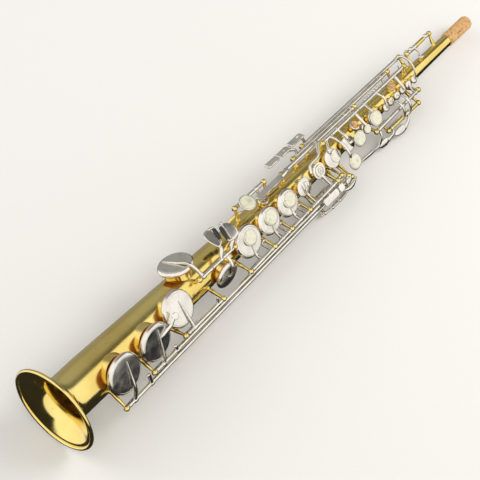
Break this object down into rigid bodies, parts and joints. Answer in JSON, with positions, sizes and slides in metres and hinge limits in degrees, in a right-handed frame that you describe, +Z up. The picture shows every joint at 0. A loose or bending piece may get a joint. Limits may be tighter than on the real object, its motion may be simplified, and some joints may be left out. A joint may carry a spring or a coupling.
{
  "type": "soprano saxophone",
  "caption": "Straight soprano saxophone: conical brass body with flared bell, tone holes, hinged padded keys, pearl touches and a corked neck.",
  "frame": {"origin": "bottom centre of the whole object's box, on the surface that it lies on", "axes": "+X along the instrument from the bell to the cork, +Y across it, +Z up from the surface"},
  "size_m": [0.6616, 0.09, 0.0899],
  "materials": {
    "brass": "clear-lacquered brass, polished, with small brown spots under the lacquer",
    "nickel": "polished nickel plating, slightly warm, lightly worn",
    "pearl": "mother-of-pearl discs, greenish cream, polished",
    "leather_pad": "tan leather key pads, matte",
    "cork": "natural cork, speckled, matte"
  },
  "bodies": {
    "frame": {"body_tube": "brass", "bell": "brass", "neck_cork": "cork", "thumb_hook": "brass", "thumb_rest": "brass", "strap_ring": "brass", "pinky_guard": "brass", "bell_key_posts": "brass", "low_C_posts": "brass", "right_pinky_posts": "brass", "lower_stack_posts": "brass", "left_pinky_posts": "brass", "side_key_posts": "brass", "palm_key_posts": "brass", "trill_posts": "brass", "neck_octave_posts": "brass", "octave_lever_posts": "brass", "body_octave_posts": "brass", "lower_stack_rod": "nickel", "upper_stack_rod": "nickel"},
    "low_Bb_key": {"low_Bb_key": "nickel", "low_Bb_pad": "leather_pad"},
    "low_B_key": {"low_B_key": "nickel", "low_B_pad": "leather_pad"},
    "low_C_key": {"low_C_key": "nickel", "low_C_pad": "leather_pad"},
    "low_Csharp_key": {"low_Csharp_key": "nickel", "low_Csharp_pad": "leather_pad"},
    "Eb_key": {"Eb_key": "nickel", "Eb_pad": "leather_pad"},
    "low_C_touch": {"low_C_touch": "nickel"},
    "D_key": {"D_key": "nickel", "D_pad": "leather_pad", "D_pearl": "pearl"},
    "E_key": {"E_key": "nickel", "E_pad": "leather_pad", "E_pearl": "pearl"},
    "F_key": {"F_key": "nickel", "F_pad": "leather_pad", "F_pearl": "pearl"},
    "Fsharp_key": {"Fsharp_key": "nickel"},
    "Gsharp_key": {"Gsharp_key": "nickel"},
    "G_key": {"G_key": "nickel"},
    "A_key": {"A_key": "nickel"},
    "bis_key": {"bis_key": "nickel"},
    "B_key": {"B_key": "nickel"},
    "front_F_key": {"front_F_key": "nickel"},
    "side_Bb_key": {"side_Bb_key": "nickel"},
    "side_C_key": {"side_C_key": "nickel"},
    "high_E_key": {"high_E_key": "nickel"},
    "Fsharp_trill_key": {"Fsharp_trill_key": "nickel"},
    "palm_F_key": {"palm_F_key": "nickel"},
    "palm_D_key": {"palm_D_key": "nickel"},
    "palm_Eb_key": {"palm_Eb_key": "nickel"},
    "neck_octave_key": {"neck_octave_key": "nickel"},
    "octave_thumb_key": {"octave_thumb_key": "nickel"},
    "body_octave_key": {"body_octave_key": "nickel"},
    "Gsharp_touch": {"Gsharp_touch": "nickel"},
    "low_Csharp_touch": {"low_Csharp_touch": "nickel"}
  },
  "joints": [
    {"name": "low_Bb_hinge", "type": "hinge", "parent": "frame", "child": "low_Bb_key", "pos_m": [-0.27487, -0.03877, 0.02558], "axis": [0.9994, 0.0189, -0.0286], "range_deg": [-6.5, 0], "stiffness_Nm_per_rad": 0.16, "springref_deg": 22.92},
    {"name": "low_B_hinge", "type": "hinge", "parent": "frame", "child": "low_B_key", "pos_m": [-0.23358, -0.03604, 0.03107], "axis": [0.9994, 0.0144, -0.0321], "range_deg": [-6.5, 0], "stiffness_Nm_per_rad": 0.16, "springref_deg": 22.92},
    {"name": "low_C_hinge", "type": "hinge", "parent": "frame", "child": "low_C_key", "pos_m": [-0.19016, -0.03629, 0.03948], "axis": [0.9991, 0.0083, -0.0411], "range_deg": [-6, 0], "stiffness_Nm_per_rad": 0.16, "springref_deg": 22.92},
    {"name": "low_Csharp_hinge", "type": "hinge", "parent": "frame", "child": "low_Csharp_key", "pos_m": [-0.14506, -0.01517, 0.05834], "axis": [0.998, 0.0082, -0.0624], "range_deg": [-7, 0], "stiffness_Nm_per_rad": 0.16, "springref_deg": 22.92},
    {"name": "Eb_hinge", "type": "hinge", "parent": "frame", "child": "Eb_key", "pos_m": [-0.11412, -0.01492, 0.05641], "axis": [0.998, 0.0082, -0.0624], "range_deg": [-8, 0], "stiffness_Nm_per_rad": 0.06, "springref_deg": 22.92},
    {"name": "low_C_touch_hinge", "type": "hinge", "parent": "frame", "child": "low_C_touch", "pos_m": [-0.12909, -0.01504, 0.05734], "axis": [0.998, 0.0082, -0.0624], "range_deg": [-6, 0], "stiffness_Nm_per_rad": 0.06, "springref_deg": 22.92},
    {"name": "D_hinge", "type": "hinge", "parent": "frame", "child": "D_key", "pos_m": [-0.09499, -0.03573, 0.0365], "axis": [0.9981, 0.0365, -0.0505], "range_deg": [-5.5, 0], "stiffness_Nm_per_rad": 0.06, "springref_deg": 22.92},
    {"name": "E_hinge", "type": "hinge", "parent": "frame", "child": "E_key", "pos_m": [-0.05624, -0.03431, 0.03454], "axis": [0.9981, 0.0365, -0.0505], "range_deg": [-5.5, 0], "stiffness_Nm_per_rad": 0.06, "springref_deg": 22.92},
    {"name": "F_hinge", "type": "hinge", "parent": "frame", "child": "F_key", "pos_m": [-0.02818, -0.03328, 0.03312], "axis": [0.9981, 0.0365, -0.0505], "range_deg": [-5.5, 0], "stiffness_Nm_per_rad": 0.06, "springref_deg": 22.92},
    {"name": "Fsharp_hinge", "type": "hinge", "parent": "frame", "child": "Fsharp_key", "pos_m": [0.00288, -0.03215, 0.03155], "axis": [0.9981, 0.0365, -0.0505], "range_deg": [-5, 0], "stiffness_Nm_per_rad": 0.06, "springref_deg": 22.92},
    {"name": "Gsharp_hinge", "type": "hinge", "parent": "frame", "child": "Gsharp_key", "pos_m": [0.02046, -0.0315, 0.03066], "axis": [0.9981, 0.0365, -0.0505], "range_deg": [0, 6], "stiffness_Nm_per_rad": 0.06, "springref_deg": -22.92},
    {"name": "G_hinge", "type": "hinge", "parent": "frame", "child": "G_key", "pos_m": [0.06648, 0.00146, 0.04776], "axis": [0.9979, 0.0159, -0.063], "range_deg": [0, 5], "stiffness_Nm_per_rad": 0.06, "springref_deg": -22.92},
    {"name": "A_hinge", "type": "hinge", "parent": "frame", "child": "A_key", "pos_m": [0.07985, 0.00168, 0.04692], "axis": [0.9979, 0.0159, -0.063], "range_deg": [0, 5], "stiffness_Nm_per_rad": 0.06, "springref_deg": -22.92},
    {"name": "bis_hinge", "type": "hinge", "parent": "frame", "child": "bis_key", "pos_m": [0.11179, 0.00219, 0.0449], "axis": [0.9979, 0.0159, -0.063], "range_deg": [0, 5], "stiffness_Nm_per_rad": 0.06, "springref_deg": -22.92},
    {"name": "B_hinge", "type": "hinge", "parent": "frame", "child": "B_key", "pos_m": [0.12677, 0.00243, 0.04395], "axis": [0.9979, 0.0159, -0.063], "range_deg": [0, 5], "stiffness_Nm_per_rad": 0.06, "springref_deg": -22.92},
    {"name": "front_F_hinge", "type": "hinge", "parent": "frame", "child": "front_F_key", "pos_m": [0.16669, 0.00306, 0.04144], "axis": [0.9979, 0.0159, -0.063], "range_deg": [-6, 0], "stiffness_Nm_per_rad": 0.06, "springref_deg": 22.92},
    {"name": "side_Bb_hinge", "type": "hinge", "parent": "frame", "child": "side_Bb_key", "pos_m": [0.00769, 0.00762, 0.04948], "axis": [0.9988, 0.0017, -0.0487], "range_deg": [-8, 0], "stiffness_Nm_per_rad": 0.06, "springref_deg": 22.92},
    {"name": "side_C_hinge", "type": "hinge", "parent": "frame", "child": "side_C_key", "pos_m": [0.03355, 0.01242, 0.0456], "axis": [0.9989, 0.001, -0.0472], "range_deg": [-8, 0], "stiffness_Nm_per_rad": 0.06, "springref_deg": 22.92},
    {"name": "high_E_hinge", "type": "hinge", "parent": "frame", "child": "high_E_key", "pos_m": [0.05536, 0.01765, 0.041], "axis": [0.999, 0, -0.045], "range_deg": [-5, 0], "stiffness_Nm_per_rad": 0.06, "springref_deg": 22.92},
    {"name": "Fsharp_trill_hinge", "type": "hinge", "parent": "frame", "child": "Fsharp_trill_key", "pos_m": [-0.06093, 0.01141, 0.05934], "axis": [0.999, 0, -0.045], "range_deg": [-12, 0], "stiffness_Nm_per_rad": 0.06, "springref_deg": 22.92},
    {"name": "palm_F_hinge", "type": "hinge", "parent": "frame", "child": "palm_F_key", "pos_m": [0.12982, -0.02214, 0.02728], "axis": [0.9992, 0.0221, -0.0347], "range_deg": [0, 10], "stiffness_Nm_per_rad": 0.06, "springref_deg": -22.92},
    {"name": "palm_D_hinge", "type": "hinge", "parent": "frame", "child": "palm_D_key", "pos_m": [0.14716, -0.0264, 0.01676], "axis": [0.9989, -0.0034, -0.0466], "range_deg": [0, 6], "stiffness_Nm_per_rad": 0.06, "springref_deg": -22.92},
    {"name": "palm_Eb_hinge", "type": "hinge", "parent": "frame", "child": "palm_Eb_key", "pos_m": [0.17363, -0.02649, 0.01552], "axis": [0.9989, -0.0034, -0.0466], "range_deg": [0, 6], "stiffness_Nm_per_rad": 0.06, "springref_deg": -22.92},
    {"name": "neck_octave_hinge", "type": "hinge", "parent": "frame", "child": "neck_octave_key", "pos_m": [0.23134, 0.01224, 0.03661], "axis": [0.999, 0, -0.045], "range_deg": [-8, 0], "stiffness_Nm_per_rad": 0.06, "springref_deg": 22.92},
    {"name": "octave_thumb_hinge", "type": "hinge", "parent": "frame", "child": "octave_thumb_key", "pos_m": [0.11638, 0.01535, 0.01786], "axis": [0.9991, -0.0111, -0.0403], "range_deg": [-8, 0], "stiffness_Nm_per_rad": 0.06, "springref_deg": 22.92},
    {"name": "body_octave_hinge", "type": "hinge", "parent": "frame", "child": "body_octave_key", "pos_m": [0.16297, 0.0016, 0.00768], "axis": [0.9995, -0.0071, -0.0299], "range_deg": [-12, 0], "stiffness_Nm_per_rad": 0.06, "springref_deg": 22.92},
    {"name": "Gsharp_touch_hinge", "type": "hinge", "parent": "frame", "child": "Gsharp_touch", "pos_m": [0.02175, -0.02609, 0.02366], "axis": [0.999, 0, -0.045], "range_deg": [0, 6], "stiffness_Nm_per_rad": 0.06, "springref_deg": -22.92},
    {"name": "low_Csharp_touch_hinge", "type": "hinge", "parent": "frame", "child": "low_Csharp_touch", "pos_m": [0.04612, -0.02609, 0.02256], "axis": [0.999, 0, -0.045], "range_deg": [0, 4.2], "stiffness_Nm_per_rad": 0.06, "springref_deg": -22.92}
  ],
  "couplings": [
    {"joint": "low_C_touch_hinge", "follows": "low_C_hinge", "ratio": 1},
    {"joint": "Gsharp_touch_hinge", "follows": "Gsharp_hinge", "ratio": 1},
    {"joint": "low_Csharp_touch_hinge", "follows": "low_Csharp_hinge", "ratio": -0.6},
    {"joint": "neck_octave_hinge", "follows": "octave_thumb_hinge", "ratio": 1}
  ]
}
